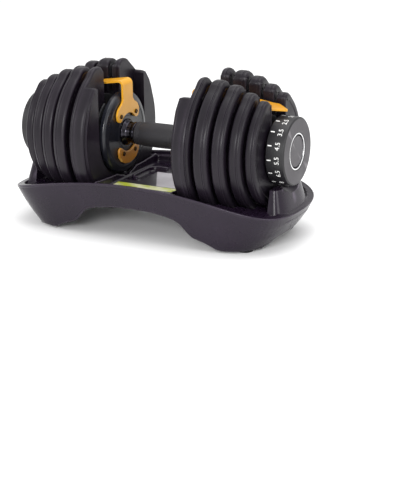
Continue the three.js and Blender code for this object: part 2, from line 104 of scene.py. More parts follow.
def resample(pts, step, closed=True, keep=18.0):
    """Points every step along a polyline, with its sharp corners kept."""
    pts = [vec2(p) for p in pts]
    n = len(pts)
    out = []
    for i in range(n if closed else n - 1):
        a, b = pts[i], pts[(i + 1) % n]
        out.append(a)
        parts = max(1, int(round(np.linalg.norm(b - a) / step)))
        for k in range(1, parts):
            out.append(a + (b - a) * k / parts)
    if not closed:
        out.append(pts[-1])
    return out


def normals2(pts):
    """Unit normals of a closed outline, pointing out of an anticlockwise one."""
    p = np.array(pts)
    d = np.roll(p, -1, 0) - np.roll(p, 1, 0)
    d /= np.maximum(np.linalg.norm(d, axis=1), 1e-9)[:, None]
    return np.stack([d[:, 1], -d[:, 0]], 1)


def anticlockwise(pts):
    p = np.array(pts)
    x, y = p[:, 0], p[:, 1]
    area = float(np.sum(x * np.roll(y, -1) - y * np.roll(x, -1)))
    return list(p if area > 0 else p[::-1])


def data_mesh(name, verts, faces, sharp=32.0):
    me = bpy.data.meshes.new(name)
    me.from_pydata([tuple(float(c) * MM for c in v) for v in verts], [], faces)
    bm = bmesh.new()
    bm.from_mesh(me)
    bmesh.ops.remove_doubles(bm, verts=bm.verts, dist=1e-7)
    bmesh.ops.recalc_face_normals(bm, faces=bm.faces)
    bm.to_mesh(me)
    bm.free()
    me.shade_smooth()
    me.set_sharp_from_angle(angle=math.radians(sharp))
    return me


def place(name, parts, mat, body, replaces=(), sharp=32.0, weighted=False):
    """One object from a list of (verts, faces) shells, riding on a body."""
    verts, faces = [], []
    for v, f in parts:
        base = len(verts)
        verts += [tuple(p) for p in v]
        faces += [tuple(i + base for i in face) for face in f]
    me = data_mesh(name, verts, faces, sharp)
    return put(name, me, mat, body, replaces, weighted)


def put(name, me, mat, body, replaces=(), weighted=False):
    o = bpy.data.objects.new(name, me)
    bpy.context.scene.collection.objects.link(o)
    me.materials.clear()
    me.materials.append(mat)
    if weighted:
        w = o.modifiers.new("wn", "WEIGHTED_NORMAL")
        w.keep_sharp = True
        w.weight = 80
    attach(o, body)
    if replaces:
        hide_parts(*replaces)
    return o


def lathe(profile, seg=96, axis="x", centre=(0.0, 0.0, AXIS), closed=False, phase=0.0):
    """A shell of revolution from (a, r) points; an open profile starts and ends on the axis."""
    verts, rings = [], []
    for a, r in profile:
        if r < 1e-6:
            rings.append([len(verts)])
            verts.append((a, 0.0, 0.0))
        else:
            rings.append(list(range(len(verts), len(verts) + seg)))
            for k in range(seg):
                t = 2 * math.pi * k / seg + phase
                verts.append((a, r * math.cos(t), r * math.sin(t)))
    faces = []
    m = len(rings)
    for i in range(m if closed else m - 1):
        A, B = rings[i], rings[(i + 1) % m]
        if len(A) == 1 and len(B) == 1:
            continue
        for k in range(seg):
            k2 = (k + 1) % seg
            if len(A) == 1:
                faces.append((A[0], B[k], B[k2]))
            elif len(B) == 1:
                faces.append((A[k], A[k2], B[0]))
            else:
                faces.append((A[k], A[k2], B[k2], B[k]))
    out = []
    for a, y, z in verts:
        p = (a, y, z) if axis == "x" else (y, z, a)
        out.append((p[0] + centre[0], p[1] + centre[1], p[2] + centre[2]))
    return out, faces


def loft(rings, caps=(True, True)):
    """Quads between rings of equal size, closed at the ends."""
    n = len(rings[0])
    verts = [tuple(p) for r in rings for p in r]
    faces = []
    for i in range(len(rings) - 1):
        for k in range(n):
            k2 = (k + 1) % n
            faces.append((i * n + k, i * n + k2, (i + 1) * n + k2, (i + 1) * n + k))
    if caps[0]:
        faces.append(tuple(range(n - 1, -1, -1)))
    if caps[1]:
        b = (len(rings) - 1) * n
        faces.append(tuple(range(b, b + n)))
    return verts, faces


def flat_x(outline, stations, weight=None):
    """A (y, z) outline about the handle axis carried along x; stations are (x, inset)."""
    o = np.array(anticlockwise(outline))
    nrm = normals2(o)
    w = np.ones(len(o)) if weight is None else np.array([weight(y, z) for y, z in o])
    rings = []
    for x, d in stations:
        q = o - nrm * (d * w)[:, None]
        rings.append([(x, p[0], p[1] + AXIS) for p in q])
    return loft(rings)


def flat_z(outline, stations):
    """An (x, y) outline carried up; stations are (z, inset)."""
    o = np.array(anticlockwise(outline))
    nrm = normals2(o)
    return loft([[(p[0], p[1], z) for p in o - nrm * d] for z, d in stations])


def mirror(part):
    v, f = part
    return [(-p[0], p[1], p[2]) for p in v], [tuple(reversed(q)) for q in f]


def sided(part, sx):
    return part if sx > 0 else mirror(part)


def apply_all(o):
    """Turns an object's modifiers into its mesh."""
    dg = bpy.context.evaluated_depsgraph_get()
    me = bpy.data.meshes.new_from_object(o.evaluated_get(dg))
    old = o.data
    o.modifiers.clear()
    o.data = me
    bpy.data.meshes.remove(old)
    return me


# ------------------------------------------------------------------- materials
def srgb(r, g, b):
    return tuple(((c / 255 + 0.055) / 1.055) ** 2.4 if c > 10 else c / 255 / 12.92 for c in (r, g, b)) + (1.0,)


class Nodes:
    def __init__(self, name):
        self.mat = bpy.data.materials.new(name)
        self.mat.use_nodes = True
        self.t = self.mat.node_tree
        self.t.nodes.clear()
        self.out = self.t.nodes.new("ShaderNodeOutputMaterial")
        self.bsdf = self.t.nodes.new("ShaderNodeBsdfPrincipled")
        self.t.links.new(self.bsdf.outputs[0], self.out.inputs[0])
        self.pos = self.t.nodes.new("ShaderNodeTexCoord").outputs["Object"]

    def new(self, kind, **inputs):
        n = self.t.nodes.new(kind)
        for k, v in inputs.items():
            n.inputs[k.replace("_", " ")].default_value = v
        return n

    def link(self, a, b):
        self.t.links.new(a, b)

    def noise(self, scale, detail=3.0, rough=0.55, stretch=None):
        n = self.new("ShaderNodeTexNoise", Scale=scale, Detail=detail, Roughness=rough)
        if stretch:
            m = self.t.nodes.new("ShaderNodeMapping")
            m.inputs["Scale"].default_value = stretch
            self.link(self.pos, m.inputs["Vector"])
            self.link(m.outputs[0], n.inputs["Vector"])
        else:
            self.link(self.pos, n.inputs["Vector"])
        return n.outputs["Fac"]

    def cells(self, scale, rand=1.0):
        n = self.new("ShaderNodeTexVoronoi", Scale=scale, Randomness=rand)
        self.link(self.pos, n.inputs["Vector"])
        return n.outputs["Distance"]

    def ramp(self, fac, stops):
        n = self.t.nodes.new("ShaderNodeValToRGB")
        e = n.color_ramp.elements
        e[0].position, e[0].color = stops[0]
        e[1].position, e[1].color = stops[-1]
        for p, c in stops[1:-1]:
            x = e.new(p)
            x.color = c
        self.link(fac, n.inputs[0])
        return n.outputs[0]

    def span(self, fac, lo, hi, a=0.3, b=0.7):
        n = self.new("ShaderNodeMapRange")
        for i, v in ((1, a), (2, b), (3, lo), (4, hi)):
            n.inputs[i].default_value = v
        self.link(fac, n.inputs[0])
        return n.outputs[0]

    def mix(self, fac, a, b):
        n = self.t.nodes.new("ShaderNodeMix")
        n.data_type = "RGBA"
        self.link(fac, n.inputs[0])
        for s, v in ((6, a), (7, b)):
            if isinstance(v, tuple):
                n.inputs[s].default_value = v
            else:
                self.link(v, n.inputs[s])
        return n.outputs[2]

    def math(self, op, a, b):
        n = self.t.nodes.new("ShaderNodeMath")
        n.operation = op
        for s, v in ((0, a), (1, b)):
            if isinstance(v, (int, float)):
                n.inputs[s].default_value = v
            else:
                self.link(v, n.inputs[s])
        return n.outputs[0]

    def bump(self, height, dist, strength=1.0, below=None):
        n = self.new("ShaderNodeBump", Strength=strength, Distance=dist)
        self.link(height, n.inputs["Height"])
        if below is not None:
            self.link(below, n.inputs["Normal"])
        return n.outputs[0]

    def edge(self, lo=0.52, hi=0.62):
        """Paler convex edges from the surface's own curvature: the mask for a painted highlight along the edges."""
        g = self.t.nodes.new("ShaderNodeNewGeometry")
        return self.span(g.outputs["Pointiness"], 0.0, 1.0, lo, hi)

    def set(self, **kw):
        for k, v in kw.items():
            s = self.bsdf.inputs[k.replace("_", " ")]
            if isinstance(v, (int, float, tuple)):
                s.default_value = v
            else:
                self.link(v, s)
        return self.mat


def plate_material():
    m = Nodes("plate_coating")
    big = m.noise(14, 3)
    fine = m.noise(900, 2, 0.6)
    brushed = m.noise(160, 4, 0.6, stretch=(2.4, 0.35, 0.35))
    col = m.ramp(big, [(0.3, srgb(18, 14, 21)), (0.55, srgb(22, 17, 25)), (0.75, srgb(28, 22, 31))])
    # painted highlight: convex edges mixed towards a paler violet grey, broken up by noise
    painted_highlight_mask = m.math("MULTIPLY", m.edge(0.51, 0.60), m.noise(60, 4))
    col = m.mix(painted_highlight_mask, col, srgb(62, 55, 66))
    n = m.bump(fine, 0.00005, 0.35)
    n = m.bump(brushed, 0.00012, 0.25, n)
    rough = m.span(brushed, 0.30, 0.44)
    return m.set(Base_Color=col, Roughness=rough, Normal=n, Specular_IOR_Level=0.27)


def moulded(name, dark, mid, light, rough=(0.42, 0.56), grain=700, depth=0.00008, strength=0.5, edge=None, spec=0.5):
    m = Nodes(name)
    big = m.noise(11, 3)
    grain_h = m.cells(grain)
    fine = m.noise(grain * 1.7, 2)
    col = m.ramp(big, [(0.3, dark), (0.52, mid), (0.75, light)])
    # painted highlight: the edge colour, broken up by noise, is mixed in along convex edges
    if edge:
        painted_highlight_mask = m.math("MULTIPLY", m.edge(0.51, 0.60), m.noise(45, 4))
        col = m.mix(painted_highlight_mask, col, edge)
    n = m.bump(grain_h, depth, strength)
    n = m.bump(fine, depth * 0.5, strength * 0.6, n)
    return m.set(Base_Color=col, Roughness=m.span(m.noise(30, 4), rough[0], rough[1]), Normal=n, Specular_IOR_Level=spec)


def metal(name, col, dark, rough=(0.16, 0.3), stretch=(60, 1, 1), scale=40):
    m = Nodes(name)
    lines = m.noise(scale, 4, 0.6, stretch=stretch)
    c = m.ramp(lines, [(0.3, dark), (0.7, col)])
    return m.set(Base_Color=c, Metallic=1.0, Roughness=m.span(lines, rough[0], rough[1]),
                 Normal=m.bump(lines, 0.00003, 0.3))


MAT = {
    "plate": plate_material(),
    # the last colour given to moulded() is the painted highlight along each part's convex edges
    "cradle": moulded("cradle_plastic", srgb(22, 14, 27), srgb(26, 17, 31), srgb(31, 21, 36), (0.22, 0.33), 900, 0.00003, 0.35, srgb(96, 86, 102), 0.32),
    "orange": moulded("orange_plastic", srgb(200, 136, 6), srgb(212, 148, 10), srgb(222, 160, 18), (0.30, 0.42), 600, 0.00005, 0.35, srgb(246, 206, 120)),
    # painted shade: a darker copy of the orange plastic for the retainer low under the grip
    "orange_painted_shade": moulded("orange_plastic_painted_shade", srgb(160, 100, 10), srgb(172, 110, 14), srgb(184, 122, 22), (0.34, 0.46), 600, 0.00005, 0.35, srgb(240, 196, 110)),
    "disc": moulded("disc_plastic", srgb(19, 20, 26), srgb(23, 24, 31), srgb(28, 29, 37), (0.24, 0.36), 800, 0.00003, 0.3, srgb(90, 94, 104)),
    "dial": moulded("dial_plastic", srgb(17, 16, 19), srgb(21, 20, 23), srgb(26, 25, 28), (0.36, 0.5), 520, 0.00014, 0.6, srgb(80, 78, 82)),
    "face": moulded("dial_face_plastic", srgb(50, 47, 51), srgb(56, 52, 57), srgb(62, 58, 63), (0.38, 0.5), 700, 0.00006, 0.4, srgb(128, 124, 128)),
    "cap": moulded("dial_cap_plastic", srgb(56, 53, 57), srgb(62, 58, 63), srgb(68, 64, 69), (0.34, 0.46), 700, 0.00006, 0.4, srgb(132, 128, 132)),
    "selector": moulded("selector_plastic", srgb(40, 40, 43), srgb(46, 46, 49), srgb(54, 54, 57), (0.4, 0.52), 600, 0.00005, 0.4, srgb(90, 90, 94)),
    "print": moulded("scale_print", srgb(226, 226, 224), srgb(240, 240, 238), srgb(250, 250, 248), (0.4, 0.55), 900, 0.00002, 0.3),
    "rubber": moulded("rubber_pad", srgb(24, 24, 25), srgb(30, 30, 31), srgb(38, 38, 38), (0.75, 0.9), 500, 0.0002, 0.7, None, 0.3),
    "chrome": metal("collar_chrome", srgb(66, 64, 70), srgb(44, 43, 49), (0.14, 0.24), (3, 1, 1), 60),
    "trim": metal("cap_trim", srgb(250, 250, 250), srgb(234, 234, 236), (0.22, 0.3), (3, 1, 1), 60),
    "steel": metal("shaft_steel", srgb(176, 178, 182), srgb(140, 142, 148)),
    "spring": metal("spring_steel", srgb(170, 170, 174), srgb(130, 130, 136), (0.2, 0.34), (8, 8, 8), 120),
    "pin": metal("pin_steel", srgb(188, 190, 194), srgb(150, 152, 158), (0.12, 0.24), (1, 1, 30), 60),
    "screw": metal("screw_plating", srgb(86, 64, 36), srgb(52, 38, 22), (0.3, 0.45), (6, 6, 6), 200),
}


def grip_material():
    m = Nodes("grip_rubber")
    knurl = m.cells(520, 0.25)
    big = m.noise(30, 3)
    col = m.ramp(big, [(0.3, srgb(22, 20, 25)), (0.7, srgb(31, 29, 34))])
    n = m.bump(knurl, 0.0002, 0.45)
    n = m.bump(m.noise(1400, 2), 0.00004, 0.4, n)
    return m.set(Base_Color=col, Roughness=m.span(m.noise(60, 3), 0.5, 0.64), Normal=n)


def label_material():
    m = Nodes("label_film")
    # dark film with a paper-white field on its right and a yellow-green strip along the front
    sep = m.t.nodes.new("ShaderNodeSeparateXYZ")
    m.link(m.pos, sep.inputs[0])
    x, y = sep.outputs["X"], sep.outputs["Y"]
    strip = m.math("MULTIPLY", m.span(y, 0.0, 1.0, -0.0490, -0.0482), m.span(y, 1.0, 0.0, -0.0330, -0.0322))
    slant = m.math("ADD", x, m.math("MULTIPLY", y, 0.53))
    field = m.math("MULTIPLY", m.span(slant, 0.0, 1.0, -0.0110, -0.0100), m.span(y, 0.0, 1.0, -0.0312, -0.0305))
    dark = m.ramp(m.noise(20, 3), [(0.3, srgb(34, 29, 38)), (0.7, srgb(46, 41, 50))])
    white = m.ramp(m.noise(20, 3), [(0.3, srgb(176, 172, 178)), (0.7, srgb(196, 193, 198))])
    green = m.mix(m.span(m.noise(38, 2), 0.0, 1.0, 0.42, 0.6), srgb(214, 214, 176), srgb(184, 194, 60))
    col = m.mix(field, dark, white)
    col = m.mix(strip, col, green)
    n = m.bump(m.noise(500, 2), 0.00003, 0.3)
    return m.set(Base_Color=col, Roughness=m.span(m.noise(60, 2), 0.34, 0.46), Normal=n)


MAT["grip"] = grip_material()
MAT["label"] = label_material()

# --------------------------------------------------------------------- plates
PLATES = [
    (62.6, 90.0, 100.0, 94.0), (96.0, 115.2, 98.6, 92.4), (119.2, 136.4, 93.0, 87.2),
    (140.0, 156.0, 85.2, 78.6), (159.2, 172.4, 76.4, 69.4),
]
SLOT_W, SLOT_R, CUT_Z, RECESS_R = 20.5, 21.0, 73.0, 61.0


def arc(r, a0, a1, n):
    return [(r * math.cos(a0 + (a1 - a0) * i / n), r * math.sin(a0 + (a1 - a0) * i / n)) for i in range(n + 1)]


def horseshoe(r, tip):
    a0 = math.asin((tip - 10.0) / r)
    outer = arc(r, a0, -math.pi - a0, 110)
    y0 = outer[0][0]
    corner = (y0 - 10.5, tip)
    hump = fillet([outer[0], corner, (SLOT_W, tip), (SLOT_W, tip - 30)], [0, 19, 12.5, 0], 10, closed=False)
    right = [tuple(p) for p in hump]
    left = [(-y, z) for y, z in right][1:]
    d = math.acos(SLOT_W / SLOT_R)
    bottom = arc(SLOT_R, -d, -math.pi + d, 26)
    pts = outer[1:-1] + [(-y0, outer[0][1])] + left[:-1] + [(-SLOT_W, z) for z in np.linspace(tip - 30, 10, 7)]
    pts += [(-y, z) for y, z in bottom] + [(SLOT_W, z) for z in np.linspace(10, tip - 30, 7)] + right[::-1][1:-1]
    return [p for i, p in enumerate(pts) if i == 0 or np.hypot(p[0] - pts[i - 1][0], p[1] - pts[i - 1][1]) > 0.05]


def rim_weight(y, z):
    inside = abs(y) < SLOT_W + 0.6 and z > -SLOT_R - 2
    return 0.28 if inside else 1.0


def band_stations(x0, x1):
    """Inboard edge, broad crowned band, thin bead, narrower outboard band."""
    t = x1 - x0
    k = t / 19.2
    s = [(0, 4.4), (0.1, 3.3), (0.45, 2.1), (1.1, 1.1), (2.1, 0.45), (3.4, 0.1), (5.0, 0.0), (7.4, 0.0), (9.6, 0.06), (11.2, 0.22),
         (12.0, 0.42), (12.3, 0.85), (12.55, 0.95), (12.8, 0.55), (13.15, 0.32), (13.6, 0.3), (13.95, 0.5), (14.2, 1.05), (14.5, 1.25),
         (15.3, 1.35), (16.4, 1.7), (17.4, 2.4), (18.2, 3.5), (18.8, 5.0), (19.1, 6.6), (19.2, 8.0)]
    return [(x0 + a * k, d * (0.75 + 0.25 * k)) for a, d in s]


def face_rings(stations, at_end=True, depth=0.9, inset=2.6):
    """A shallow dished face after the last station (or before the first)."""
    x, d = stations[-1] if at_end else stations[0]
    s = -1 if at_end else 1
    extra = [(x, d + inset * 0.6), (x + s * depth * 0.25, d + inset), (x + s * depth, d + inset + 0.8)]
    return stations + extra if at_end else extra[::-1] + stations


for s, sx in SIDES:
    for k, (x0, x1, r, tip) in enumerate(PLATES):
        r -= 0.04
        outline = horseshoe(r, tip)
        if k == 0:
            flange = [(77.5, 3.2), (77.6, 2.3), (78.0, 1.3), (78.8, 0.5), (80.2, 0.08), (82.0, 0.0), (83.4, 0.2), (84.3, 0.7), (84.6, 1.5), (84.9, 1.7),
                      (85.2, 1.35), (85.6, 1.2), (86.0, 1.4), (86.25, 2.1), (87.0, 2.5), (88.2, 3.4), (89.2, 4.9), (89.8, 6.8), (90.0, 8.6)]
            parts = [flat_x(outline, face_rings(flange), rim_weight)]
            a0 = math.asin(CUT_Z / r)
            outer = arc(r, a0, -math.pi - a0, 110)
            y0 = outer[0][0]
            u = RECESS_R
            thick = [tuple(p) for p in fillet([(u, CUT_Z - 18), (u, CUT_Z), (y0, CUT_Z), outer[4]], [0, 5, 5, 0], 7, closed=False)]
            mid = outer[5:-5]
            left = [(-y, z) for y, z in reversed(thick)]
            rec = arc(u, 0.0, -math.pi, 60)
            pts = thick + mid + left + [(-u, z) for z in np.linspace(CUT_Z - 22, 6, 7)] + [(-y, z) for y, z in rec] + [(u, z) for z in np.linspace(6, CUT_Z - 22, 7)]
            st = [(62.6, 8.0), (62.75, 6.6), (63.2, 5.4), (63.9, 4.7), (64.2, 4.75), (64.45, 4.2), (64.9, 3.9), (65.3, 3.95), (65.55, 3.0),
                  (66.1, 2.0), (67.0, 1.05), (68.2, 0.4), (69.8, 0.05), (72.0, 0.0), (76.0, 0.0), (79.5, 0.0), (79.9, 0.6), (80.0, 2.0)]
            ease = lambda z: 1.0 - 0.75 * min(1.0, max(0.0, (z - CUT_Z + 34.0) / 26.0))
            w = lambda y, z: 0.12 if (abs(y) < RECESS_R + 0.6 and z > -RECESS_R - 1 and math.hypot(y, min(z, 0)) < RECESS_R + 1.5) else ease(z)
            parts.append(flat_x(pts, st, w))
        else:
            parts = [flat_x(outline, face_rings(face_rings(band_stations(x0, x1)), False, 0.7, 3.0), rim_weight)]
        place(f"{s}_plate_{k + 1}_body", [sided(p, sx) for p in parts], MAT["plate"], f"{s}_weight_{k + 1}",
              [f"{s}_plate_{k + 1}"], 30, weighted=True)

# --------------------------------------------------------------- handle pieces
shaft = fillet([(-190, 0), (-190, 8), (190, 8), (190, 0)], [0, 1.2, 1.2, 0], 4, closed=False)
place("handle_shaft_bar", [lathe(shaft, 64)], MAT["steel"], "handle", ["handle_shaft"])

grip = [(-38, 8.5), (-38, 14.4), (-37.6, 15.2), (-36.9, 15.7)]
for c in (-35.4, -32.6, -29.8):
    grip += [(c - 1.0, 15.8), (c - 0.7, 15.15), (c, 14.95), (c + 0.7, 15.15), (c + 1.0, 15.85)]
grip += [(-27.6, 16.05), (-22, 16.45), (-14, 16.8), (-6, 16.9), (0, 16.9)]
full = grip + [(-x, r) for x, r in reversed(grip[:-1])]
place("grip_sleeve_rubber", [lathe([tuple(p) for p in full], 96, closed=True)], MAT["grip"], "handle", ["grip_sleeve"], 40)

for s, sx in SIDES:
    prof = fillet([(38.4, 8.5), (38.4, 15.2), (42.9, 15.2), (43.9, 13.6), (50.4, 14.6), (55.4, 19.6), (55.4, 8.5)],
                  [0.2, 1.3, 1.2, 1.6, 4, 0.8, 0.2], 6)
    place(f"{s}_collar_ring", [sided(lathe([tuple(p) for p in prof], 96, closed=True), sx)], MAT["chrome"], "handle", [f"{s}_collar"], 40)
    # inner end disc with a domed edge and a shallow ring groove on its face
    prof = fillet([(55.8, 8.5), (55.8, 22.0), (56.3, 22.6), (56.3, 45.6), (55.8, 46.2), (55.8, 48.6), (57.5, 54.4), (60.6, 56.9), (66.0, 56.9), (66.0, 8.5)],
                  [0.2, 0.3, 0.3, 0.3, 0.3, 1.6, 6, 3, 0.8, 0.2], 6)
    place(f"{s}_inner_disc_body", [sided(lathe([tuple(p) for p in prof], 128, closed=True), sx)], MAT["disc"], "handle", [f"{s}_inner_disc"], 35)

# over-arm brackets: a flat sheet outline carried round the bend, then given its thickness
ARM_W, ARM_T = 13.0, 3.0
BRX = 53.9                         # mid plane of the fork


def bracket_sheet():
    fork = [(ARM_W, 45.5), (17, 41.5), (25.5, 36), (29.5, 29), (28, 21), (23.5, 17), (18.5, 18.5), (14.5, 22.5), (7.5, 26.4), (0, 27.4)]
    rad = [7, 5, 7, 5.5, 4.5, 4, 3, 8, 30, 30]
    half = fork + [(-y, z) for y, z in reversed(fork[:-1])]
    rr = rad + rad[:-1][::-1]
    low = fillet([(ARM_W, 66.0)] + half + [(-ARM_W, 66.0)], [0] + rr + [0], 6, closed=False)
    low = [tuple(p) for p in low]
    nu = 9
    us = np.linspace(-1, 1, nu)
    # path of the sheet's middle in (x, z), from the top of the fork round the bend and out along the arm
    path = [(BRX, 66.0)]
    r = 6.0
    cx, cz = BRX + r, 72.0 - r + 0.0
    slope = math.atan2(54.6 - 70.5, 164.0 - 60.0)
    for i in range(1, 13):
        a = math.pi - (math.pi / 2 - slope) * i / 12
        path.append((cx + r * math.cos(a), cz + r * math.sin(a)))
    x_last, z_last = path[-1]
    xs = list(np.linspace(x_last + 6, 158.0, 18))
    z_at = lambda x: z_last + (x - x_last) * math.tan(slope)
    path += [(x, z_at(x)) for x in xs]
    widths = [ARM_W] * len(path)
    for x, w in ((161.0, 13.6), (164.0, 14.7), (166.4, 15.0), (168.6, 13.9), (172.5, 10.6), (176.5, 7.3), (180.5, 4.0), (183.2, 1.8), (184.6, 0.7)):
        path.append((x, z_at(x)))
        widths.append(w)
    verts, faces = [], []
    rows = []
    for (x, z), w in zip(path, widths):
        rows.append([len(verts) + i for i in range(nu)])
        verts += [(x, u * w, z + AXIS) for u in us]
    for a, b in zip(rows[:-1], rows[1:]):
        for i in range(nu - 1):
            faces.append((a[i], a[i + 1], b[i + 1], b[i]))
    base = len(verts)
    ring = low[1:-1]
    verts += [(BRX, y, z + AXIS) for y, z in ring]
    faces.append(tuple(rows[0]) + tuple(range(base, base + len(ring))))
    return verts, faces


def sheet_piece(name, part, thickness, bevel, mat, body, replaces):
    me = data_mesh(name, *part, sharp=50)
    o = bpy.data.objects.new(name, me)
    bpy.context.scene.collection.objects.link(o)
    me.materials.append(mat)
    m = o.modifiers.new("thick", "SOLIDIFY")
    m.thickness = thickness * MM
    m.offset = 0.0
    m.use_even_offset = True
    b = o.modifiers.new("bevel", "BEVEL")
    b.width = bevel * MM
    b.segments = 3
    b.limit_method = "ANGLE"
    b.angle_limit = math.radians(50)
    me = apply_all(o)
    me.shade_smooth()
    me.set_sharp_from_angle(angle=math.radians(40))
    bpy.data.objects.remove(o)
    return put(name, me, mat, body, replaces, weighted=True)


SCREWS = [("bracket_screw_rear", 20, 25.5), ("bracket_screw_front", -20, 25.5), ("retainer_screw_rear", 15.7, -27), ("retainer_screw_front", -15.7, -27)]
kidney = [(-26.5, -19.5), (-22, -17.4), (-17.6, -19.5), (-12, -23.2), (-6, -25.3), (0, -26), (6, -25.3), (12, -23.2), (17.6, -19.5), (22, -17.4),
          (26.5, -19.5), (27.6, -24.5), (25.5, -31.5), (19.5, -38), (10.5, -42), (0, -43.4), (-10.5, -42), (-19.5, -38), (-25.5, -31.5), (-27.6, -24.5)]
for s, sx in SIDES:
    sheet_piece(f"{s}_pointer_bracket_arm", sided(bracket_sheet(), sx), ARM_T - 0.1, 0.6, MAT["orange"], "handle", [f"{s}_pointer_bracket"])
    outline = fillet(kidney, 4.0, 5)
    st = [(52.45, 1.6), (52.5, 0.9), (52.75, 0.35), (53.2, 0.05), (53.8, 0.0), (54.9, 0.0), (55.3, 0.15), (55.4, 0.5)]
    # the retainer takes the darker orange copy, painted shade under the grip
    place(f"{s}_retainer_plate", [sided(flat_x(outline, st), sx)], MAT["orange_painted_shade"], "handle", [f"{s}_retainer"], 30, weighted=True)
    for nm, y, z in SCREWS:
        prof = fillet([(50.9, 0), (50.9, 1.0), (50.6, 1.15), (50.55, 2.3), (51.5, 3.1), (52.4, 3.1), (52.4, 1.55), (61.6, 1.55), (62.0, 1.1), (62.0, 0)],
                      [0, 0.1, 0.1, 0.6, 0.4, 0.1, 0.1, 0.3, 0.2, 0], 4, closed=False)
        head = lathe([tuple(p) for p in prof], 28, centre=(0, y, AXIS + z))
        place(f"{s}_{nm}_part", [sided(head, sx)], MAT["screw"], "handle", [f"{s}_{nm}"], 35)
    # end nut under the cap
    nut = fillet([(190.7, 0), (190.7, 7.1), (194.0, 7.1), (194.0, 0)], [0, 0.6, 0.6, 0], 3, closed=False)
    place(f"{s}_end_nut_hex", [sided(lathe([tuple(p) for p in nut], 6), sx)], MAT["steel"], "handle", [f"{s}_end_nut"], 25)
    # spring lock pin
    pin = fillet([(-59.6, 0), (-59.6, 3.0), (-45.0, 3.0), (-45.0, 1.4), (-40.6, 1.4), (-40.6, 0)], [0, 1.1, 0.3, 0.2, 0.4, 0], 5, closed=False)
    place(f"{s}_lock_pin_plunger", [lathe([tuple(p) for p in pin], 32, "z", (sx * 61.2, 0, AXIS))], MAT["pin"], f"{s}_lock_pin_body", [f"{s}_lock_pin"], 35)

# ------------------------------------------------------------------ lock springs
def coil(x, z0, z1, r, wire, turns, seg=24, sides=10):
    rings = []
    n = int(turns * seg)
    for i in range(n + 1):
        t = i / n
        a = t * turns * 2 * math.pi
        c = np.array([x + r * math.cos(a), r * math.sin(a), z0 + (z1 - z0) * t])
        out = np.array([math.cos(a), math.sin(a), 0.0])
        up = np.array([0.0, 0.0, 1.0])
        rings.append([c + wire * (out * math.cos(b) + up * math.sin(b)) for b in [2 * math.pi * k / sides for k in range(sides)]])
    return loft(rings)


for s, sx in SIDES:
    # a coil round the lock pin's line, left as one fixed mesh on no body
    me = data_mesh(f"{s}_lock_spring_coil", *coil(sx * 61.2, AXIS - 43.9, AXIS - 35.7, 2.35, 0.36, 3.5), sharp=60)
    me.materials.append(MAT["spring"])
    spring = bpy.data.objects.new(f"{s}_lock_spring_coil", me)
    bpy.context.scene.collection.objects.link(spring)
    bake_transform(spring)
    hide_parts(f"{s}_lock_spring")

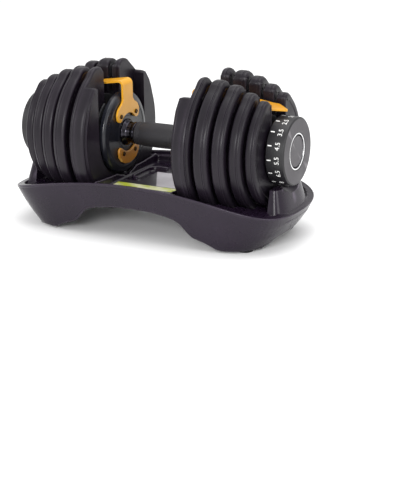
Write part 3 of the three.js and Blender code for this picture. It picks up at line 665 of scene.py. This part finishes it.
# ------------------------------------------------------------- dials and selectors
SELECTORS = [(74.2, 77.0, 50.0), (91.6, 94.4, 50.0), (116.1, 118.3, 48.0), (137.1, 139.3, 46.0), (156.7, 158.5, 44.0)]
DX0, DX1, DR = 174.2, 199.5, 45.1
for s, sx in SIDES:
    body = f"{s}_dial_set"
    for k, (x0, x1, r) in enumerate(SELECTORS):
        nxt = SELECTORS[k + 1][0] - 0.4 if k < 4 else DX0 + 5.6
        start = 66.8 if k == 0 else x0
        a0 = 0.9 + k * 0.7
        pts = arc(r, a0 + 1.2, a0 + 2 * math.pi, 120) + arc(r - 7, a0, a0 + 1.2, 24)
        outline = fillet(pts, [0] * 120 + [2.0, 1.5] + [0] * 23 + [1.5], 4)
        web = flat_x(outline, [(x0, 1.2), (x0 + 0.15, 0.5), (x0 + 0.5, 0.1), (x0 + 0.8, 0), (x1 - 0.8, 0), (x1 - 0.5, 0.1), (x1 - 0.15, 0.5), (x1, 1.2)])
        hub = fillet([(start, 8.5), (start, 13.0), (nxt, 13.0), (nxt, 8.5)], 0.5, 3)
        place(f"{s}_selector_disc_{k + 1}_web", [sided(web, sx), sided(lathe([tuple(p) for p in hub], 64, closed=True), sx)], MAT["selector"], body,
              [f"{s}_selector_disc_{k + 1}"], 32, weighted=True)
    shell = fillet([
        (DX0, DR - 3.2), (DX0, DR + 0.4), (DX1 - 1.4, DR), (DX1, DR - 1.8), (DX1, 24.6), (DX1 - 5.2, 21.4), (DX1 - 5.2, 8.5), (DX0 + 6.0, 8.5),
        (DX0 + 6.0, 13.0), (DX1 - 8.6, 13.0), (DX1 - 8.6, 22), (DX1 - 3.6, 27.5), (DX1 - 3.6, DR - 3.2)],
        [0.5, 0.8, 0.8, 1.2, 1.2, 0.4, 0.3, 0.3, 0.5, 1, 1, 1, 1.5], 5)
    place(f"{s}_dial_shell", [sided(lathe([tuple(p) for p in shell], 160, closed=True), sx)], MAT["dial"], body, [f"{s}_dial"], 32)
    # paler face ring over the end of the dial, with a softly turned edge
    face = fillet([(DX1 - 3.0, DR - 0.35), (DX1 - 1.5, DR + 0.02), (DX1 + 0.0, DR - 1.9), (DX1 + 0.02, 26.0), (DX1 - 0.6, 24.2), (DX1 - 1.6, 24.2), (DX1 - 1.6, DR - 1.0)],
                  [0.1, 0.9, 1.4, 1.2, 0.5, 0.2, 0.3], 6)
    place(f"{s}_dial_face", [sided(lathe([tuple(p) for p in face], 160, closed=True), sx)], MAT["face"], body, (), 32)
    # bright trim that lines the step round the cap
    trim = fillet([(DX1 - 4.6, 22.2), (DX1 - 4.6, 23.7), (DX1 - 0.4, 24.4), (DX1 - 0.4, 22.7)], 0.25, 3)
    place(f"{s}_dial_cap_trim", [sided(lathe([tuple(p) for p in trim], 128, closed=True), sx)], MAT["trim"], body, (), 40)
    cap = fillet([(DX1 - 4.9, 0), (DX1 - 4.9, 20.6), (DX1 - 1.6, 20.6), (DX1 - 0.9, 19.6), (DX1 - 1.15, 17.6), (DX1 - 1.15, 0)], [0, 0.3, 1.0, 0.9, 0.8, 0], 6, closed=False)
    place(f"{s}_dial_cap_disc", [sided(lathe([tuple(p) for p in cap], 128), sx)], MAT["cap"], body, [f"{s}_dial_cap"], 32)

# the printed scale: a stroke and a figure for each of the 15 settings
VALUES = ["2.5", "3.5", "4.5", "5.5", "6.5", "8", "9", "10", "11.5", "13.5", "16", "18", "20.5", "22.5", "24"]


def figure_mesh(text):
    cu = bpy.data.curves.new("figure", "FONT")
    cu.body = text
    cu.size = 1.0
    cu.align_x = "CENTER"
    cu.offset = 0.0
    cu.space_character = 1.02
    o = bpy.data.objects.new("figure", cu)
    bpy.context.scene.collection.objects.link(o)
    dg = bpy.context.evaluated_depsgraph_get()
    dg.update()
    me = bpy.data.meshes.new_from_object(o.evaluated_get(dg))
    bm = bmesh.new()
    bm.from_mesh(me)
    bmesh.ops.triangulate(bm, faces=bm.faces)
    bmesh.ops.subdivide_edges(bm, edges=[e for e in bm.edges if e.calc_length() > 0.18], cuts=2)
    v = [tuple(x.co) for x in bm.verts]
    f = [tuple(x.index for x in face.verts) for face in bm.faces]
    bm.free()
    bpy.data.objects.remove(o)
    bpy.data.curves.remove(cu)
    bpy.data.meshes.remove(me)
    return v, f


HEIGHT = 6.2 / 0.69      # font size that gives figures 6.2 mm tall


def on_rim(u, x, ang, lift):
    """A point on the dial's side: x along the handle, ang from the top towards the front."""
    r = DR + 0.4 - 0.4 * (x - DX0) / (DX1 - 1.4 - DX0) + lift
    return (x, -r * math.sin(ang), AXIS + r * math.cos(ang))


for s, sx in [q for q in SIDES if q[1] > 0]:
    verts, faces = [], []

    def add_flat(v2, f2, ang):
        n = len(v2)
        base = len(verts)
        for lift in (0.10, -0.12):
            for x, w in v2:
                p = on_rim(0, x, ang + w / DR, lift)
                verts.append((p[0] * sx, p[1] * sx, p[2]))
        for f in f2:
            faces.append(tuple(base + i for i in f))
            faces.append(tuple(base + n + i for i in reversed(f)))
        # side walls along the outline
        seen = {}
        for f in f2:
            for a, b in zip(f, f[1:] + f[:1]):
                seen[(a, b)] = True
        for a, b in list(seen):
            if (b, a) not in seen:
                faces.append((base + b, base + a, base + n + a, base + n + b))

    for i, text in enumerate(VALUES):
        ang = math.radians(22 + 24 * i)
        v2, f2 = [], []
        for a in range(5):
            for b in (-0.75, 0.75):
                v2.append((176.2 + 5.4 * a / 4, b))
        f2 = [(2 * a, 2 * a + 2, 2 * a + 3, 2 * a + 1) for a in range(4)]
        add_flat(v2, f2, ang)
        fv, ff = figure_mesh(text)
        # reading direction runs up the front of the dial, tops towards the grip
        v2 = [(189.0 + 3.6 - y * HEIGHT, -x * HEIGHT * 0.98) for x, y, _ in fv]
        add_flat(v2, [tuple(f) for f in ff], ang)
    place(f"{s}_dial_scale", [(verts, faces)], MAT["print"], f"{s}_dial_set", (), 30)

# --------------------------------------------------------------------- cradle
RIM_MID_Z, RIM_DROP = 79.0, 29.0
RIM_X = min(209.2, HI0.x / MM - 0.1)
RIM_Y = 99.0
BASE_Z, BASE_SX, BASE_SY = 2.6, 0.845, 0.86


def lip_z(x):
    return RIM_MID_Z - RIM_DROP * (min(abs(x), 220.0) / 200.0) ** 2


def lip_outline(n=900):
    pts = []
    for i in range(n):
        a = i / n * 2 * math.pi
        c, s_ = math.cos(a), math.sin(a)
        x = math.copysign(abs(c) ** (2 / 7.9) * RIM_X, c)
        y = math.copysign(abs(s_) ** (2 / 2.5) * RIM_Y, s_)
        waist = 0.6 * math.exp(-((x / 95.0) ** 2))
        y -= math.copysign(min(abs(y), waist * abs(s_) ** 0.6), y)
        pts.append((x, y))
    p = np.array(pts + [pts[0]])
    d = np.concatenate([[0], np.cumsum(np.linalg.norm(np.diff(p, axis=0), axis=1))])
    m = 440
    t = np.linspace(0, d[-1], m, endpoint=False)
    return np.stack([np.interp(t, d, p[:, 0]), np.interp(t, d, p[:, 1])], 1)


ARCH = [(0, 46.5), (26, 46), (49, 43), (62, 40), (69, 37.5), (76, 31), (82, 24), (88, 18), (94, 15.5), (102, 13.5), (111, 10), (120, 5), (126, 2.6), (400, 2.6)]
END_ARCH = [(0, 14), (25, 14), (30, 12.6), (36, 9), (41.5, 2.6), (400, 2.6)]


def skirt_point(x, y, z, inset, nrm):
    """A point of the skirt at height z: the lip's outline drawn in towards the base."""
    top = lip_z(x)
    t = min(1.0, max(0.0, (top - z) / (top - BASE_Z)))
    f = 0.75 * t + 0.25 * t * t
    px, py = x - nrm[0] * inset, y - nrm[1] * inset
    return px * (1 - (1 - BASE_SX) * f), py * (1 - (1 - BASE_SY) * f), z


def bottom_z(x, y, nrm):
    z = BASE_Z
    for _ in range(6):
        q = skirt_point(x, y, z, 0, nrm)
        if abs(q[0]) < 150 and abs(y) > 50:
            z = float(np.interp(abs(q[0]), [a for a, _b in ARCH], [b for _a, b in ARCH]))
        elif abs(q[0]) >= 150:
            z = float(np.interp(abs(q[1]), [a for a, _b in END_ARCH], [b for _a, b in END_ARCH]))
    return max(BASE_Z, z)


outline = lip_outline()
onrm = normals2(outline)
bottoms = np.array([bottom_z(x, y, n) for (x, y), n in zip(outline, onrm)])
kernel = np.array([1, 2, 1.0]) / 4
for _ in range(2):
    bottoms = np.convolve(np.concatenate([bottoms[-1:], bottoms, bottoms[:1]]), kernel, "valid")
rings = []
LIPW, SHELF = 4.4, 5.0
wall = 3.4
for (x, y), n, zb in zip(outline, onrm, bottoms):
    zl = lip_z(x)
    sec = []
    hs = zl - zb
    # bottom edge, rounded
    for inset, dz in ((wall - 0.2, 1.2), (wall - 0.6, 0.35), (wall - 1.2, 0.0), (1.2, 0.0), (0.6, 0.2), (0.2, 0.7), (0.0, 1.6)):
        sec.append(skirt_point(x, y, zb + dz, inset, n))
    for t in (0.12, 0.24, 0.36, 0.48, 0.6, 0.72, 0.82, 0.9):
        sec.append(skirt_point(x, y, zb + t * (hs - 3.0), 0.0, n))
    # a thin bead just under the edge of the lip, then the rounded lip
    for inset, dz in ((0.55, -4.6), (0.6, -4.0), (0.45, -3.5), (0.05, -3.1), (-0.02, -2.6), (0.0, -1.5), (0.15, -0.8), (0.5, -0.3), (1.1, 0.0), (1.8, 0.02), (2.7, -0.02), (3.4, -0.3), (3.9, -0.8), (4.2, -1.5)):
        sec.append(skirt_point(x, y, zl + dz, max(inset, 0.0), n))
    for inset, dz in ((4.3, -3.4), (4.5, -4.3), (5.0, -4.8), (5.8, -5.0), (8.5, -5.05), (12.0, -5.05), (12.0, -8.0), (5.6, -8.4)):
        sec.append(skirt_point(x, y, max(zl + dz, zb + 1.4), inset, n))
    for t in (0.8, 0.6, 0.4, 0.2):
        sec.append(skirt_point(x, y, zb + 1.3 + t * max(0.1, hs - 11.0), wall, n))
    rings.append(sec)
m = len(rings)
kk = len(rings[0])
verts = [p for r_ in rings for p in r_]
faces = []
for i in range(m):
    j = (i + 1) % m
    for k in range(kk):
        k2 = (k + 1) % kk
        faces.append((i * kk + k, j * kk + k, j * kk + k2, i * kk + k2))
skirt_part = (verts, faces)

# towers round the dials, with a saddle cut to clear the dial
TX0, TX1, TY, TZ, SADDLE = 177.6, 203.0, 51.0, 80.0, 48.0


def tower_object(sx):
    pts = []
    for i in range(61):
        a = -math.pi / 2 + i / 60 * math.pi
        c, s_ = math.cos(a), math.sin(a)
        pts.append((TX0 + 9 + abs(c) ** (2 / 2.4) * (TX1 - TX0 - 9), math.copysign(abs(s_) ** (2 / 3.2) * TY, s_)))
    pts += [(TX0, TY), (TX0, -TY)]
    pts = fillet(pts, [0] * 61 + [1.2, 1.2], 3)
    base = np.array(anticlockwise(pts))
    out = []
    for z in (38.5, 46.0, 54.0, 62.0, 70.0, 76.0, TZ - 0.05):
        t = (z - 38.0) / (TZ - 38.0)
        q = base.copy()
        q[:, 0] = TX0 + (q[:, 0] - TX0) * (1 - 0.45 * t)
        q[:, 1] *= 1 - 0.23 * t
        out.append([(p[0], p[1], z) for p in q])
    me = data_mesh("tower", *sided(loft(out), sx), sharp=30)
    o = bpy.data.objects.new("tower", me)
    bpy.context.scene.collection.objects.link(o)
    prof = fillet([(150, 0), (150, SADDLE), (184, SADDLE), (194, SADDLE + 7), (214, SADDLE + 12), (240, SADDLE + 12), (240, 0)], [0, 0, 6, 6, 0, 0, 0], 6, closed=False)
    cut_me = data_mesh("saddle", *sided(lathe([tuple(p) for p in prof], 160), sx))
    cut = bpy.data.objects.new("saddle", cut_me)
    bpy.context.scene.collection.objects.link(cut)
    bo = o.modifiers.new("cut", "BOOLEAN")
    bo.operation = "DIFFERENCE"
    bo.solver = "EXACT"
    bo.object = cut
    be = o.modifiers.new("bevel", "BEVEL")
    be.width = 1.5 * MM
    be.segments = 3
    be.limit_method = "ANGLE"
    be.angle_limit = math.radians(32)
    me = apply_all(o)
    bpy.data.objects.remove(cut)
    bpy.data.objects.remove(o)
    me.shade_smooth()
    me.set_sharp_from_angle(angle=math.radians(40))
    return me


def inner_tray():
    """Wells, deck, ribs and underside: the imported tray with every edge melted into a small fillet, drawn in a little so that the skirt and towers cover it."""
    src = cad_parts["cradle_tray"]
    me = src.data.copy()
    o = bpy.data.objects.new("inner", me)
    bpy.context.scene.collection.objects.link(o)
    r = o.modifiers.new("remesh", "REMESH")
    r.mode = "VOXEL"
    r.voxel_size = 0.0015
    sm = o.modifiers.new("smooth", "SMOOTH")
    sm.factor = 0.5
    sm.iterations = 3
    dp = o.modifiers.new("draw_in", "DISPLACE")
    dp.mid_level = 0.0
    dp.strength = -0.0007
    dp.direction = "NORMAL"
    de = o.modifiers.new("thin", "DECIMATE")
    de.ratio = 0.3
    me = apply_all(o)
    bpy.data.objects.remove(o)
    me.shade_smooth()
    me.set_sharp_from_angle(angle=math.radians(60))
    return me


def as_part(me):
    n = len(me.vertices)
    co = np.zeros(n * 3, np.float32)
    me.vertices.foreach_get("co", co)
    return [tuple(p) for p in (co.reshape(-1, 3).astype(float) / MM)], [tuple(p.vertices) for p in me.polygons]


tray = place("cradle_skirt", [skirt_part], MAT["cradle"], "cradle", ["cradle_tray"], 50)
tower_part = as_part(tower_object(1))
for s, sx in SIDES:
    place(f"cradle_tower_{s}", [sided(tower_part, sx)], MAT["cradle"], "cradle", (), 40, weighted=True)
put("cradle_inner_tray", inner_tray(), MAT["cradle"], "cradle", ())

label = [(-52, -66), (52, -66), (52, -18), (28, -18), (28, 34), (-28, 34), (-28, -18), (-52, -18)]
label = fillet(label, 3.0, 5)
place("cradle_label_film", [flat_z(label, [(62.25, 0.1), (62.3, 0.0), (62.75, 0.0), (62.9, 0.15)])], MAT["label"], "cradle", ["cradle_label"], 30)

for nm, x, y in (("rear_right", 152, 58), ("front_right", 152, -58), ("rear_left", -152, 58), ("front_left", -152, -58)):
    prof = fillet([(0.35, 0), (0.35, 3.0), (0.0, 3.6), (0.0, 9.4), (0.5, 10.3), (2.3, 10.3), (2.3, 2.8), (7.2, 2.8), (7.5, 0)],
                  [0, 0.3, 0.3, 0.8, 0.6, 0.3, 0.2, 0.8, 0], 4, closed=False)
    place(f"foot_pad_{nm}_disc", [lathe([tuple(p) for p in prof], 48, "z", (x, y, 0.0))], MAT["rubber"], "cradle", [f"foot_pad_{nm}"], 32)

# ------------------------------------------------------------ camera and light
az, el, roll, TXC, TYC, DC = 0.473001, 0.321111, -0.009042, -60.899, 154.871, 1971.657
back = np.array([math.sin(az) * math.cos(el), -math.cos(az) * math.cos(el), math.sin(el)])
right = np.array([math.cos(az), math.sin(az), 0.0])
up = np.cross(back, right)
rr = math.cos(roll) * right + math.sin(roll) * up
uu = -math.sin(roll) * right + math.cos(roll) * up
where = np.linalg.solve(np.array([rr, uu, back]), np.array([-TXC, -TYC, DC])) + np.array([0, 0, AXIS])
cam_data = bpy.data.cameras.new("camera")
cam = bpy.data.objects.new("camera", cam_data)
bpy.context.scene.collection.objects.link(cam)
cam.matrix_world = Matrix([[rr[i], uu[i], back[i], where[i] * MM] for i in range(3)] + [[0, 0, 0, 1]])
cam_data.lens = 1452.55 * 36.0 / 500.0
cam_data.sensor_width = 36.0
cam_data.sensor_fit = "AUTO"
cam_data.clip_start, cam_data.clip_end = 0.05, 60.0
bpy.context.scene.camera = cam

me = bpy.data.meshes.new("floor")
me.from_pydata([(-14, -14, 0), (14, -14, 0), (14, 14, 0), (-14, 14, 0)], [], [(0, 1, 2, 3)])
floor = bpy.data.objects.new("floor", me)
bpy.context.scene.collection.objects.link(floor)
fm = Nodes("floor_paper")
fm.set(Base_Color=fm.ramp(fm.noise(3, 2), [(0.3, (0.93, 0.93, 0.93, 1)), (0.7, (0.95, 0.95, 0.95, 1))]), Roughness=0.9)
me.materials.append(fm.mat)


def area(name, loc, target, size, power, col=(1, 1, 1), size_y=None):
    d = bpy.data.lights.new(name, "AREA")
    d.energy = power
    d.color = col
    d.size = size
    if size_y:
        d.shape = "RECTANGLE"
        d.size_y = size_y
    o = bpy.data.objects.new(name, d)
    bpy.context.scene.collection.objects.link(o)
    o.location = loc
    o.rotation_mode = "QUATERNION"
    o.rotation_quaternion = (Vector(target) - Vector(loc)).to_track_quat("-Z", "Y")
    return o


area("key_front", (0.4, -2.3, 1.0), (0, 0, 0.10), 1.2, 30, size_y=0.5)
area("top_soft", (0.2, 0.3, 2.2), (0, 0, 0.1), 2.0, 26)
area("side_right", (2.4, -0.5, 0.9), (0.1, 0, 0.12), 1.0, 12)
area("side_left", (-2.2, -1.2, 1.0), (-0.1, 0, 0.12), 1.0, 10)
world = bpy.data.worlds.new("studio")
bpy.context.scene.world = world
world.use_nodes = True
bg = world.node_tree.nodes["Background"]
bg.inputs[0].default_value = (1.0, 1.0, 1.0, 1.0)
bg.inputs[1].default_value = 0.9
bpy.context.scene.view_settings.view_transform = "Standard"
